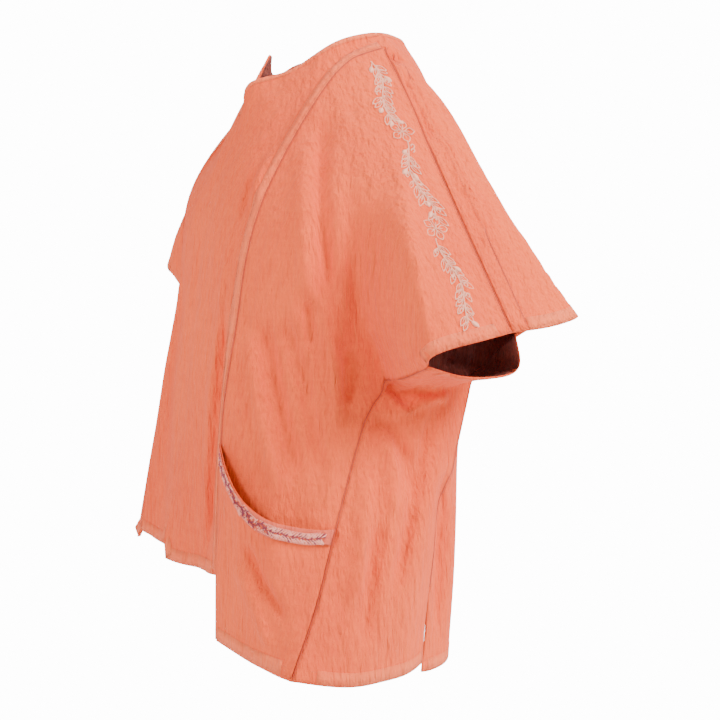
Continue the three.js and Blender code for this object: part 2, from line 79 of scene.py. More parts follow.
# ---- creases ----
# On the side the camera sees: path in photo pixels, depth in mm (a trough is negative), width in pixels.
PHOTO_CREASES = [
    {"depth": -3.4, "width": 9, "path": [(324, 110), (322, 170), (325, 240), (331, 310)]},
    {"depth": -1.8, "width": 12, "path": [(345, 130), (350, 200), (357, 270), (366, 330)]},
    {"depth": 1.5, "width": 10, "path": [(308, 130), (302, 190), (304, 260), (309, 300)]},
    {"depth": 2.2, "width": 12, "path": [(392, 150), (402, 220), (415, 300), (428, 345)]},
    {"depth": -1.5, "width": 8, "path": [(375, 230), (388, 300), (398, 350)]},
    {"depth": -3.6, "width": 11, "path": [(262, 320), (272, 380), (284, 430), (300, 490)]},
    {"depth": 2.4, "width": 9, "path": [(250, 330), (258, 390), (268, 440), (280, 490)]},
    {"depth": -3.2, "width": 11, "path": [(285, 320), (303, 370), (316, 430), (326, 490)]},
    {"depth": 2.2, "width": 9, "path": [(298, 330), (312, 380), (325, 440), (332, 500)]},
    {"depth": -2.6, "width": 7, "path": [(308, 300), (311, 330), (309, 352)]},
    {"depth": -2.2, "width": 7, "path": [(345, 345), (350, 375), (346, 405)]},
    {"depth": 2.0, "width": 6, "path": [(330, 330), (336, 380), (338, 430)]},
    {"depth": -3.0, "width": 6, "path": [(388, 384), (402, 396), (412, 408)]},
    {"depth": -3.2, "width": 7, "path": [(404, 398), (430, 387), (458, 378)]},
    {"depth": 2.4, "width": 7, "path": [(396, 412), (420, 400), (450, 392)]},
    {"depth": -2.4, "width": 8, "path": [(372, 420), (396, 432), (410, 460), (414, 500)]},
    {"depth": 2.4, "width": 6, "path": [(385, 430), (392, 470), (392, 520)]},
    {"depth": -2.6, "width": 7, "path": [(436, 410), (424, 470), (408, 540), (396, 600)]},
    {"depth": 2.2, "width": 7, "path": [(366, 470), (362, 540), (352, 610)]},
    {"depth": -2.2, "width": 7, "path": [(380, 520), (372, 580), (366, 650)]},
    {
        "depth": 3.4,
        "width": 5,
        "path": [(243, 110), (226, 154), (214, 190), (204, 251), (190, 343), (176, 460), (167, 560)],
    },
    {"depth": -2.6, "width": 5, "path": [(222, 190), (209, 260), (197, 350), (186, 450), (176, 560)]},
    {"depth": 2.4, "width": 5, "path": [(226, 230), (214, 330), (202, 430), (192, 560)]},
    {"depth": -3.6, "width": 5, "path": [(222, 300), (214, 400), (207, 480), (203, 566)]},
    {"depth": 2.4, "width": 6, "path": [(292, 100), (268, 150), (250, 210)]},
    {"depth": -2.0, "width": 6, "path": [(276, 110), (256, 160), (238, 220)]},
    {"depth": -2.2, "width": 4, "path": [(246, 545), (262, 585), (286, 622)]},
    {"depth": 2.0, "width": 6, "path": [(236, 560), (256, 610), (270, 650)]},
    {"depth": -2.4, "width": 5, "path": [(446, 470), (442, 540), (438, 640)]},
    {"depth": -2.2, "width": 6, "path": [(440, 360), (462, 366), (482, 372)]},
    {"depth": -3.2, "width": 4, "path": [(392, 46), (396, 56), (404, 64)]},
    {"depth": -2.0, "width": 5, "path": [(404, 70), (424, 112), (440, 150)]},
    {"depth": 2.0, "width": 5, "path": [(440, 130), (462, 180), (486, 236)]},
]
# how square to the camera the cloth is where these creases start, and where they are full
SEEN_FROM, SEEN_TO = 0.05, 0.35
BODY_AXIS_Y = -0.06
CREASE_GAIN = 4.0
FADE_IN, FADE_OUT = 0.2, 0.25  # shares of a crease's path over which it rises and dies away
FADE_REST = 0.15
# the neck and the notch stay calm: half width, how soon creases start beside it, height and depth
CALM_X, CALM_SIDE, CALM_Z, CALM_DEPTH = 0.09, 0.02, -0.11, 0.06
# elsewhere: long soft folds round the body, drawn from a seeded spread
HIDDEN_FOLDS = 44
HIDDEN_SHOWN = 0.8  # share by which they give way to the creases above
FOLD_TOP, FOLD_BOTTOM = -0.16, -0.76
FOLD_TOP_SPREAD, FOLD_BOTTOM_SPREAD = 0.2, 0.25
FOLD_JITTER, FOLD_LEAN = 0.3, 0.35
FOLD_DEPTH = (2.6, 7.0)
FOLD_WIDTH = (0.035, 0.075)
FOLD_RISE, FOLD_FALL, FOLD_HEM = 0.12, 0.08, 0.4


def smooth(t):
    """An eased step from 0 to 1."""
    t = np.clip(t, 0, 1)
    return t * t * (3 - 2 * t)


def path_distance(path, points):
    """Distance of points to a path, and how far along it each nearest place is, from 0 to 1."""
    best = np.full(len(points), np.inf)
    share = np.zeros(len(points))
    pieces = len(path) - 1
    for k in range(pieces):
        a, b = np.array(path[k], float), np.array(path[k + 1], float)
        t = np.clip((points - a) @ (b - a) / ((b - a) @ (b - a)), 0, 1)
        gap = np.linalg.norm(points - a - t[:, None] * (b - a), axis=1)
        closer = gap < best
        best = np.where(closer, gap, best)
        share = np.where(closer, (k + t) / pieces, share)
    return best, share


def hidden_fold(k):
    """One fold of the seeded spread."""
    return {
        "angle": 2 * math.pi * (k + rng.uniform(-FOLD_JITTER, FOLD_JITTER)) / HIDDEN_FOLDS,
        "lean": rng.uniform(-FOLD_LEAN, FOLD_LEAN),
        "depth": rng.uniform(*FOLD_DEPTH) * rng.choice((-1, 1)),
        "width": rng.uniform(*FOLD_WIDTH),
        "top": rng.uniform(FOLD_TOP - FOLD_TOP_SPREAD, FOLD_TOP),
        "bottom": rng.uniform(FOLD_BOTTOM, FOLD_BOTTOM + FOLD_BOTTOM_SPREAD),
    }


hidden_folds = [hidden_fold(k) for k in range(HIDDEN_FOLDS)]


def hollow(gap, width):
    """Depth share of a rounded trough, at a gap from its middle."""
    return np.exp(-((gap / width) ** 2))


def creased(points, at=None):
    """Points moved in or out from the body's axis by the creases, which may be read at other points."""
    spots = points if at is None else at
    outward = spots - np.array([0, BODY_AXIS_Y, 0])
    outward[:, 2] = 0
    outward /= np.linalg.norm(outward, axis=1)[:, None]
    facing = smooth((outward @ np.array(TOWARDS) - SEEN_FROM) / (SEEN_TO - SEEN_FROM))
    pixels = to_photo(spots)
    push = np.zeros(len(spots))
    for crease in PHOTO_CREASES:
        gap, share = path_distance(crease["path"], pixels)
        fade = smooth(share / FADE_IN + FADE_REST) * smooth((1 - share) / FADE_OUT + FADE_REST)
        push += facing * CREASE_GAIN * crease["depth"] * fade * hollow(gap, crease["width"])
    angles = np.arctan2(spots[:, 1] - BODY_AXIS_Y, spots[:, 0])
    z = spots[:, 2]
    for fold in hidden_folds:
        off = angles - fold["angle"] - fold["lean"] * (z - FOLD_TOP)
        off = (off + math.pi) % (2 * math.pi) - math.pi
        lower_end = smooth((z - fold["bottom"]) / FOLD_FALL + FOLD_HEM)
        tall = smooth((fold["top"] - z) / FOLD_RISE) * lower_end
        push += (1 - HIDDEN_SHOWN * facing) * fold["depth"] * tall * hollow(off, fold["width"])
    below = smooth((CALM_Z - z) / CALM_DEPTH)
    calm = smooth((np.abs(spots[:, 0]) - CALM_X) / CALM_SIDE + below)
    return points + outward * (push * calm * MM)[:, None]


# ---- panels: the frame's own panels, rounded and creased ----
SHARP = math.radians(50)
MERGE = 0.02 * MM
JOIN_FACE, JOIN_SHAPE = math.radians(40), math.radians(70)
PANEL_LEVELS = 2
WALL = 2.0 * MM
RIM_WIDTH = 2.6 * MM  # a panel's rim faces are narrower than this
SEAM_CLOSED = 0.26 * MM  # each rim reaches this far into the seam's gap

SLEEVE_X, SLEEVE_Z = 0.23, -0.425  # beyond this the sleeve's own axis says which side is inside
SLEEVE_TOP, SLEEVE_SLOPE = -0.29, 0.5  # height of the sleeve's axis there, and how it falls
SLEEVE_VOTE = 8  # a sleeve's faces lie near its axis, so they weigh more

OUTSIDE, INSIDE, RIM = 0, 1, 2  # material places on a panel


def shortest(face):
    """Length of a face's shortest edge."""
    return min(edge.calc_length() for edge in face.edges)


def outward_at(centre):
    """A direction away from the wearer, its length being the weight of a vote there."""
    if abs(centre.x) > SLEEVE_X and centre.z > SLEEVE_Z:
        drop = (abs(centre.x) - SLEEVE_X) * SLEEVE_SLOPE
        return Vector((0, centre.y, centre.z - SLEEVE_TOP + drop)) * SLEEVE_VOTE
    return Vector((centre.x, centre.y - BODY_AXIS_Y, 0))


def mark_inside(bm):
    """Gives each side of the wall, as a whole, its material. Narrow faces are apart from wide ones."""
    narrow = {face: shortest(face) < RIM_WIDTH for face in bm.faces}
    left = set(bm.faces)
    while left:
        island = [left.pop()]
        votes = 0.0
        for face in island:
            votes += face.normal.dot(outward_at(face.calc_center_median())) * face.calc_area()
            for edge in face.edges:
                if len(edge.link_faces) == 2 and edge.calc_face_angle() <= SHARP:
                    for other in edge.link_faces:
                        if other in left and narrow[other] == narrow[face]:
                            left.remove(other)
                            island.append(other)
        for face in island:
            face.material_index = OUTSIDE if votes >= 0 else INSIDE


def close_seams(bm, layer):
    """Marks the rim's faces, and moves them a little way into the seam's gap."""
    push = {}
    for face in bm.faces:
        if sum(edge[layer] > 0 for edge in face.edges) >= 2 and shortest(face) < RIM_WIDTH:
            face.material_index = RIM
            for vert in face.verts:
                push[vert] = push.get(vert, Vector()) + face.normal
    for vert, way in push.items():
        vert.co += way.normalized() * SEAM_CLOSED


def smoothed(mesh):
    """Shades all of a mesh's faces smooth."""
    for polygon in mesh.polygons:
        polygon.use_smooth = True


def dress(name):
    """A finer copy of a CAD panel: quads, subdivided with its rims kept, then creased."""
    mesh = nodes[name].data.copy()
    mesh.materials.clear()
    piece = bpy.data.objects.new(name + "_cloth", mesh)
    bpy.context.scene.collection.objects.link(piece)
    bm = bmesh.new()
    bm.from_mesh(mesh)
    bmesh.ops.remove_doubles(bm, verts=bm.verts, dist=MERGE)
    bmesh.ops.join_triangles(
        bm, faces=bm.faces, angle_face_threshold=JOIN_FACE, angle_shape_threshold=JOIN_SHAPE
    )
    layer = bm.edges.layers.float.get("crease_edge") or bm.edges.layers.float.new("crease_edge")
    for edge in bm.edges:
        if len(edge.link_faces) == 2 and edge.calc_face_angle() > SHARP:
            edge[layer] = 1.0
    mark_inside(bm)
    close_seams(bm, layer)
    bm.to_mesh(mesh)
    bm.free()
    modifier = piece.modifiers.new("rounded", "SUBSURF")
    modifier.levels = PANEL_LEVELS
    modifier.render_levels = PANEL_LEVELS
    bpy.context.view_layer.update()
    fine = bpy.data.meshes.new_from_object(piece.evaluated_get(bpy.context.evaluated_depsgraph_get()))
    piece.modifiers.clear()
    piece.data = fine
    points = np.zeros(len(fine.vertices) * 3)
    fine.vertices.foreach_get("co", points)
    points = points.reshape(-1, 3)
    # both sides of the wall read the creases on its outer side, so that it keeps its thickness
    outer = points.copy()
    for polygon in fine.polygons:
        if polygon.material_index == INSIDE:
            for index in polygon.vertices:
                outer[index] = points[index] - np.array(fine.vertices[index].normal) * WALL
    fine.vertices.foreach_set("co", creased(points, outer).ravel())
    fine.update()
    smoothed(fine)
    return piece


# ---- materials ----
CLOTH_LIGHT, CLOTH_DARK = (1.0, 0.135, 0.032, 1), (0.84, 0.082, 0.022, 1)
# the wall's inside: the gauze darkened with painted shade, as deep in the cuffs and the neck
INSIDE_SHADE_LIGHT, INSIDE_SHADE_DARK = (0.40, 0.085, 0.055, 1), (0.20, 0.036, 0.028, 1)
# felled strips and turned hems: the gauze painted lighter, as light caught by the raised folds
FOLDED_LIT_LIGHT, FOLDED_LIT_DARK = (1.0, 0.19, 0.065, 1), (0.88, 0.10, 0.03, 1)
BAND_LIGHT, BAND_DARK = (0.92, 0.15, 0.075, 1), (0.62, 0.085, 0.05, 1)
THREAD = (0.74, 0.12, 0.05, 1)
VINE = (1.0, 0.44, 0.29, 1)
BLOSSOM, BLOSSOM_SHADE = (1.0, 0.46, 0.36, 1), (0.95, 0.28, 0.20, 1)
MAUVE = (0.30, 0.045, 0.07, 1)
# painted shadow: the dark of the seams' dips and of the overarm band's edge
PAINTED_SHADOW = (0.60, 0.075, 0.03, 1)

CLOTH_ROUGHNESS, THREAD_ROUGHNESS = 0.92, 0.6
CLOTH_SPECULAR = 0.15
CLOTH_SHEEN, SHEEN_ROUGHNESS = 0.05, 0.6
GAUZE_NOISE = {
    "dye": {"scale": 9, "stretch": (1, 1, 0.5), "detail": 4},
    "slub": {"scale": 320, "stretch": (1, 1, 0.12), "detail": 4},
    "cross_slub": {"scale": 300, "stretch": (0.14, 0.14, 1), "detail": 3},
    "weave": {"scale": 900, "stretch": (1, 1, 1), "detail": 2},
    "wrinkle": {"scale": 62, "stretch": (1, 1, 0.2), "detail": 5},
    "fine_wrinkle": {"scale": 190, "stretch": (1, 1, 0.22), "detail": 4},
}
GAUZE_DARK_AT, GAUZE_LIGHT_AT = 0.34, 0.68
GAUZE_BUMP, GAUZE_HEIGHT = 1.0, 9 * MM
THREAD_GRAIN = 160
THREAD_DARK_AT, THREAD_LIGHT_AT = 0.42, 0.58
THREAD_SHADE = 0.92


def new_material(name, roughness=CLOTH_ROUGHNESS):
    """A matt cloth material and its shader."""
    material = bpy.data.materials.new(name)
    material.use_nodes = True
    shader = material.node_tree.nodes["Principled BSDF"]
    shader.inputs["Roughness"].default_value = roughness
    shader.inputs["Specular IOR Level"].default_value = CLOTH_SPECULAR
    shader.inputs["Sheen Weight"].default_value = CLOTH_SHEEN
    shader.inputs["Sheen Roughness"].default_value = SHEEN_ROUGHNESS
    return material, shader


def colour_ramp(tree, shader, tone, dark, dark_at, light, light_at):
    """Colours the shader from dark to light by a tone."""
    ramp = tree.nodes.new("ShaderNodeValToRGB")
    for element, position, colour in zip(ramp.color_ramp.elements, (dark_at, light_at), (dark, light)):
        element.position = position
        element.color = colour
    tree.links.new(tone, ramp.inputs["Fac"])
    tree.links.new(ramp.outputs["Color"], shader.inputs["Base Color"])


def gauze(name, light, dark):
    """Crinkled slubby cotton: woven threads, uneven slubs, soft crinkles and blotchy dye."""
    material, shader = new_material(name)
    tree = material.node_tree
    link = tree.links.new
    place = tree.nodes.new("ShaderNodeTexCoord").outputs["Object"]

    def noise(scale, stretch, detail):
        mapping = tree.nodes.new("ShaderNodeMapping")
        mapping.inputs["Scale"].default_value = stretch
        node = tree.nodes.new("ShaderNodeTexNoise")
        node.inputs["Scale"].default_value = scale
        node.inputs["Detail"].default_value = detail
        link(place, mapping.inputs["Vector"])
        link(mapping.outputs["Vector"], node.inputs["Vector"])
        return node.outputs["Fac"]

    def mixed(a, b, weight_a, weight_b):
        first = tree.nodes.new("ShaderNodeMath")
        first.operation = "MULTIPLY"
        first.inputs[1].default_value = weight_a
        link(a, first.inputs[0])
        second = tree.nodes.new("ShaderNodeMath")
        second.operation = "MULTIPLY_ADD"
        second.inputs[1].default_value = weight_b
        link(b, second.inputs[0])
        link(first.outputs[0], second.inputs[2])
        return second.outputs[0]

    at = {kind: noise(**row) for kind, row in GAUZE_NOISE.items()}
    stained = mixed(at["dye"], at["slub"], 0.42, 0.36)
    woven = mixed(at["cross_slub"], at["weave"], 0.6, 0.4)
    tone = mixed(stained, woven, 1.0, 0.3)
    colour_ramp(tree, shader, tone, dark, GAUZE_DARK_AT, light, GAUZE_LIGHT_AT)
    crinkles = mixed(at["wrinkle"], at["fine_wrinkle"], 1.0, 0.5)
    threads = mixed(at["slub"], at["weave"], 0.6, 0.4)
    bump = tree.nodes.new("ShaderNodeBump")
    bump.inputs["Strength"].default_value = GAUZE_BUMP
    bump.inputs["Distance"].default_value = GAUZE_HEIGHT
    link(mixed(crinkles, threads, 1.0, 0.22), bump.inputs["Height"])
    link(bump.outputs["Normal"], shader.inputs["Normal"])
    return material


def thread_material(name, colour, second=None):
    """Stitching thread in one colour and its shade, or in two colours."""
    material, shader = new_material(name, THREAD_ROUGHNESS)
    tree = material.node_tree
    node = tree.nodes.new("ShaderNodeTexNoise")
    node.inputs["Scale"].default_value = THREAD_GRAIN
    shade = second or tuple(c * THREAD_SHADE for c in colour[:3]) + (1,)
    colour_ramp(tree, shader, node.outputs["Fac"], shade, THREAD_DARK_AT, colour, THREAD_LIGHT_AT)
    return material


cloth = gauze("gauze", CLOTH_LIGHT, CLOTH_DARK)
band_cloth = gauze("band_gauze", BAND_LIGHT, BAND_DARK)
stitch_thread = thread_material("stitch_thread", THREAD)
vine_thread = thread_material("vine_thread", VINE)
band_thread = thread_material("band_thread", BLOSSOM, BLOSSOM_SHADE)
mauve_thread = thread_material("mauve_thread", MAUVE)
# the inside of the wall, with painted shade
shaded_inside_cloth = gauze("gauze_inside_painted_shade", INSIDE_SHADE_LIGHT, INSIDE_SHADE_DARK)
# the folded strips' gauze, painted lighter as if lit
lit_fold_cloth = gauze("gauze_folded_painted_light", FOLDED_LIT_LIGHT, FOLDED_LIT_DARK)

# flat cuts in metres: width and length, and the area where the cut isn't a rectangle
FLAT = {
    "centre_front": {"flat": (0.29, 0.66), "area": 0.155},
    "back": {"flat": (0.90, 0.80), "area": 0.45},
    "side_front_left": {"flat": (0.40, 0.74), "area": 0.147},
    "side_front_right": {"flat": (0.40, 0.74), "area": 0.129},
    "side_panel_left": {"flat": (0.20, 0.47), "area": 0.065},
    "side_panel_right": {"flat": (0.20, 0.47), "area": 0.062},
    "pocket_left": {"flat": (0.17, 0.25), "area": 0.027},
    "pocket_band_left": {"flat": (0.19, 0.02), "area": 0.003},
    "overarm_band_left": {"flat": (0.45, 0.02), "area": 0.0075},
    "overarm_band_right": {"flat": (0.45, 0.02), "area": 0.0075},
}
panels = {}
trees = {}  # of each panel's outside
for name in FLAT:
    piece = dress(name)
    outside = band_cloth if name == "pocket_band_left" else cloth
    for material in (outside, shaded_inside_cloth, outside):
        piece.data.materials.append(material)
    panels[name] = piece
    bm = bmesh.new()
    bm.from_mesh(piece.data)
    hidden = [face for face in bm.faces if face.material_index != OUTSIDE]
    bmesh.ops.delete(bm, geom=hidden, context="FACES")
    trees[name] = BVHTree.FromBMesh(bm)
    bm.free()


# ---- threads and folded strips on the cloth ----
def nearest(point, names):
    """Nearest place on some panels, with the outer side's normal."""
    best = None
    for name in names:
        hit, normal, _, gap = trees[name].find_nearest(point)
        if hit is not None and (best is None or gap < best[2]):
            best = (hit, normal, gap)
    return best[0], best[1]


def seen(px, py, name):
    """The place on a panel that shows at a photo pixel, or None."""
    return trees[name].ray_cast(EYE, ray(px, py))[0]


def spaced(path, step):
    """Points at even steps along a path of vectors."""
    out = [path[0].copy()]
    carried = 0.0
    for a, b in zip(path, path[1:]):
        size = (b - a).length
        while carried + size >= step and size > 1e-9:
            a = a + (b - a) * ((step - carried) / size)
            size = (b - a).length
            carried = 0.0
            out.append(a.copy())
        carried += size
    return out


class Shapes:
    """Collects small closed shapes, each of four-cornered rings, into one mesh."""

    def __init__(self):
        self.points = []
        self.faces = []

    def close(self, start, rings):
        """Joins the rings from a start point on, and closes both ends."""
        for k in range(rings - 1):
            a = start + 4 * k
            for e in range(4):
                f = (e + 1) % 4
                self.faces.append((a + e, a + f, a + 4 + f, a + 4 + e))
        self.faces.append(tuple(start + e for e in (3, 2, 1, 0)))
        self.faces.append(tuple(start + 4 * (rings - 1) + e for e in range(4)))

    def build(self, name, material, slot):
        """One object of all the shapes, riding on the garment."""
        mesh = bpy.data.meshes.new(name)
        mesh.from_pydata([tuple(p) for p in self.points], [], self.faces)
        mesh.update()
        bm = bmesh.new()
        bm.from_mesh(mesh)
        bmesh.ops.recalc_face_normals(bm, faces=bm.faces)
        bm.to_mesh(mesh)
        bm.free()
        smoothed(mesh)
        piece = bpy.data.objects.new(name, mesh)
        bpy.context.scene.collection.objects.link(piece)
        mesh.materials.append(material)
        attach(piece, "root")


class Threads(Shapes):
    """Satin stitches, bolder or higher by choice."""

    RINGS = 5

    def __init__(self, bold=1.0, lift=0.0):
        super().__init__()
        self.bold = bold
        self.lift = lift

    def lens(self, middle, normal, along, length, width, height):
        """A padded stitch: a pointed oval crowned along its middle."""
        middle = middle + normal * self.lift
        width, height = width * self.bold, height * self.bold
        side = normal.cross(along).normalized()
        start = len(self.points)
        for k in range(self.RINGS):
            t = k / (self.RINGS - 1)
            half = width / 2 * math.sin(math.pi * (0.08 + 0.84 * t)) ** 0.8
            centre = middle + along * (length * (t - 0.5))
            crown = height * math.sin(math.pi * (0.1 + 0.8 * t))
            self.points += [
                centre - side * half,
                centre + normal * crown,
                centre + side * half,
                centre - normal * height * 0.5,
            ]
        self.close(start, self.RINGS)


class Ribbons(Shapes):
    """Thin strips that follow a seam: folded cloth, or a painted shadow line."""

    STEP = 6 * MM

    def strip(self, path, names, near, far, depth, thick, toward=None, step=STEP):
        """A closed strip from near to far beside the path, its middle at depth along the normal."""
        start = len(self.points)
        spots = spaced(path, step)
        for a, b in zip(spots, spots[1:]):
            hit, normal = nearest((a + b) / 2, names)
            side = normal.cross(b - a).normalized()
            if toward is not None and side.dot(toward) < 0:
                side = -side
            for reach, up in ((near, 0.5), (far, 0.5), (far, -0.5), (near, -0.5)):
                place, lean = nearest(hit + side * reach, names)
                self.points.append(place + lean * (depth + up * thick))
        self.close(start, len(spots) - 1)


STITCH = 3.2 * MM
STITCH_LENGTH = 2.4 * MM
STITCH_WIDTH = 0.8 * MM
STITCH_HEIGHT = 0.3 * MM
STITCH_LIFT = 0.2 * MM


def stitch_row(threads, path, names, shift=0.0, lift=STITCH_LIFT):
    """A row of short stitches beside a path, shifted sideways over the cloth."""
    spots = spaced(path, STITCH)
    for a, b in zip(spots, spots[1:]):
        hit, normal = nearest((a + b) / 2, names)
        along = (b - a).normalized()
        if shift:
            side = normal.cross(along).normalized()
            hit, normal = nearest(hit + side * shift, names)
        along = (along - normal * along.dot(normal)).normalized()
        threads.lens(hit + normal * lift, normal, along, STITCH_LENGTH, STITCH_WIDTH, STITCH_HEIGHT)


def rim(name):
    """Rim points of a CAD panel: where its faces turn sharply."""
    bm = bmesh.new()
    bm.from_mesh(nodes[name].data)
    bmesh.ops.remove_doubles(bm, verts=bm.verts, dist=MERGE)
    found = set()
    for edge in bm.edges:
        if len(edge.link_faces) == 2 and edge.calc_face_angle() > SHARP:
            found.update(v.co.copy().freeze() for v in edge.verts)
    bm.free()
    return [Vector(p) for p in found]


CHAIN_REACH = 0.13  # points further apart than this aren't on one edge
CLOSE = 2.4 * MM  # rim points of two panels that are nearer than this are on their seam


def outer_only(points):
    """Of each pair across the wall, the point farther from the body's axis."""
    kept = []
    for p in sorted(points, key=lambda q: -math.hypot(q.x, q.y - BODY_AXIS_Y)):
        if all((p - q).length > RIM_WIDTH for q in kept):
            kept.append(p)
    return kept


def edge_path(points, start):
    """Outer points put in order, each next one the nearest left, and creased as the cloth is."""
    left = outer_only(points)
    path = [min(left, key=start)]
    left.remove(path[0])
    while left:
        step = min(left, key=lambda q: (q - path[-1]).length)
        if (step - path[-1]).length > CHAIN_REACH:
            break
        path.append(step)
        left.remove(step)
    moved = creased(np.array([tuple(p) for p in path]))
    return [Vector(p) for p in moved]


CAD_PANELS = [name for name in FLAT if name.split("_")[0] in ("centre", "back", "side")]
rims = {name: rim(name) for name in CAD_PANELS}


def seam(first, second, start):
    """The seam between two panels, as an ordered path on the outside."""
    other = rims[second]
    return edge_path([p for p in rims[first] if min((p - q).length for q in other) < CLOSE], start)


def open_edge(names, keep, start):
    """An edge that no other panel meets."""
    points = []
    for name in names:
        others = [q for other in CAD_PANELS if other != name for q in rims[other]]
        for p in rims[name]:
            if keep(p) and min((p - q).length for q in others) > CLOSE:
                points.append(p)
    return edge_path(points, start)


def top_first(p):
    """Starts a seam at its highest point."""
    return -p.z


def neck_first(p):
    """Starts a seam at the middle of the body."""
    return abs(p.x)


def cuff_first(p):
    """Starts a seam at the cuff."""
    return -abs(p.x)


def right_first(p):
    """Starts an edge on the wearer's right."""
    return p.x


def front_first(p):
    """Starts an edge at its front."""
    return p.y


# ---- seams: a painted shadow line on each, with felled strips and topstitching beside it ----
FELL_NEAR, FELL_FAR = 0.6 * MM, 11.5 * MM
FELL_LIFT, FELL_THICK = 0.45 * MM, 1.1 * MM
FELL_STITCHES = (2.0 * MM, 10.0 * MM)
FELL_STITCH_LIFT = 1.0 * MM
# painted shadow strips: half the width of a seam's line, then their lift and thickness over the cloth
SHADOW_HALF = 0.8 * MM
SHADOW_LIFT, SHADOW_THICK = 0.35 * MM, 0.3 * MM
BAND_EDGE = 20.4 * MM  # from the overarm seam to the far edge of its felled strip, where a painted shadow runs
BAND_EDGE_SHADOW_WIDTH = 1.2 * MM
BAND_STITCHES = (3.0 * MM, 18.0 * MM)
BAND_STITCH_LIFT = 0.3 * MM
EDGE_STITCH, BACK_STITCH = 2.4 * MM, 2.6 * MM

stitches = Threads()
fells = Ribbons()
shadow_strips = Ribbons()


def seam_shadow_line(path, pair):
    """A painted shadow line where two panels are sewn together."""
    shadow_strips.strip(path, pair, -SHADOW_HALF, SHADOW_HALF, SHADOW_LIFT, SHADOW_THICK)


for side, sign in (("left", 1), ("right", -1)):
    front, panel, band = f"side_front_{side}", f"side_panel_{side}", f"overarm_band_{side}"
    princess = seam(front, "centre_front", top_first)
    seam_shadow_line(princess, [front, "centre_front"])
    fells.strip(princess, ["centre_front"], -sign * FELL_NEAR, -sign * FELL_FAR, FELL_LIFT, FELL_THICK)
    for shift in FELL_STITCHES:
        stitch_row(stitches, princess, ["centre_front"], -sign * shift, FELL_STITCH_LIFT)
    overarm = seam(front, "back", neck_first)
    seam_shadow_line(overarm, [front, "back"])
    stitch_row(stitches, overarm, [front], -sign * EDGE_STITCH)
    # a painted shadow strip along the band's far edge
    near, far = sign * BAND_EDGE, sign * (BAND_EDGE + BAND_EDGE_SHADOW_WIDTH)
    shadow_strips.strip(overarm, ["back"], near, far, SHADOW_LIFT, SHADOW_THICK)
    for shift in BAND_STITCHES:
        stitch_row(stitches, overarm, [band], sign * shift, BAND_STITCH_LIFT)
    side_front = seam(front, panel, cuff_first)
    seam_shadow_line(side_front, [front, panel])
    stitch_row(stitches, side_front, [panel], sign * EDGE_STITCH)
    side_back = seam(panel, "back", cuff_first)
    seam_shadow_line(side_back, [panel, "back"])
    stitch_row(stitches, side_back, ["back"], sign * BACK_STITCH)
# painted shadow along the seams and the band's edge
shadow_strips.build("seam_shadow_strips", thread_material("seam_shadow", PAINTED_SHADOW), "back")
fells.build("princess_fells", lit_fold_cloth, "centre_front")

# ---- open edges: the hem, the neck and the cuffs are turned and stitched ----
HEM_UP = 15 * MM
HEM_TOP = -0.60  # a hem's points are below this
HEM_DROP, HEM_SLOPE = 6 * MM, 3  # a point this far and this steeply above another isn't on the hem
TURN_NEAR, TURN_PAST = 0.4 * MM, 1.5 * MM
TURN_LIFT, TURN_THICK = 0.15 * MM, 0.8 * MM
NECK_BOTTOM, NECK_HALF = -0.1, 0.13
NECK_NEAR, NECK_FAR, NECK_STEP = 0.3 * MM, 6 * MM, 4 * MM
NECK_SPREAD, NECK_MIDDLE_Y, NECK_DROP = 0.06, -0.03, 0.004
CUFF_X, CUFF_Z = 0.295, -0.42
CUFF_STITCH = 0.009
CUFF_RISE = 0.6
UPWARD = Vector((0, 0, 1))
turned = Ribbons()


def lowest(path):
    """The part of an edge that has no more of itself just below it, without its steep ends."""

    def covered(p):
        return any(
            p.z - q.z > max(HEM_DROP, HEM_SLOPE * (abs(p.x - q.x) + abs(p.y - q.y))) for q in path
        )

    def steep(p, q):
        return abs(p.z - q.z) > math.hypot(p.x - q.x, p.y - q.y)

    kept = [p for p in path if not covered(p)]
    while len(kept) > 2 and steep(kept[0], kept[1]):
        kept.pop(0)
    while len(kept) > 2 and steep(kept[-1], kept[-2]):
        kept.pop()
    return kept


for name in CAD_PANELS:
    hem = lowest(open_edge([name], lambda p: p.z < HEM_TOP, right_first))
    if len(hem) > 2:
        ground = ["pocket_left"] if name == "side_front_left" else [name]
        turned.strip(hem, ground, TURN_NEAR, HEM_UP + TURN_PAST, TURN_LIFT, TURN_THICK, UPWARD)
        stitch_row(stitches, [p + UPWARD * HEM_UP for p in hem], ground)

NECK_PANELS = ["centre_front", "back"]
neck = open_edge(NECK_PANELS, lambda p: p.z > NECK_BOTTOM and abs(p.x) < NECK_HALF, right_first)
turned.strip(neck, NECK_PANELS, NECK_NEAR, NECK_FAR, TURN_LIFT, TURN_THICK, -UPWARD, NECK_STEP)
neck_out = [
    p + Vector((p.x * NECK_SPREAD, (p.y - NECK_MIDDLE_Y) * NECK_SPREAD, -NECK_DROP)) for p in neck
]
stitch_row(stitches, neck_out, NECK_PANELS)

for side, sign in (("left", 1), ("right", -1)):
    inward = Vector((-sign, 0, CUFF_RISE))
    for name in (f"side_front_{side}", "back", f"side_panel_{side}"):
        cuff = open_edge([name], lambda p: sign * p.x > CUFF_X and p.z > CUFF_Z, front_first)
        if len(cuff) > 2:
            turned.strip(cuff, [name], TURN_NEAR, HEM_UP, TURN_LIFT, TURN_THICK, inward)
            drawn = [p + Vector((-sign * CUFF_STITCH, 0, CUFF_STITCH)) for p in cuff]
            stitch_row(stitches, drawn, [name])
turned.build("turned_hems", lit_fold_cloth, "back")
stitches.build("topstitching", stitch_thread, "centre_front")

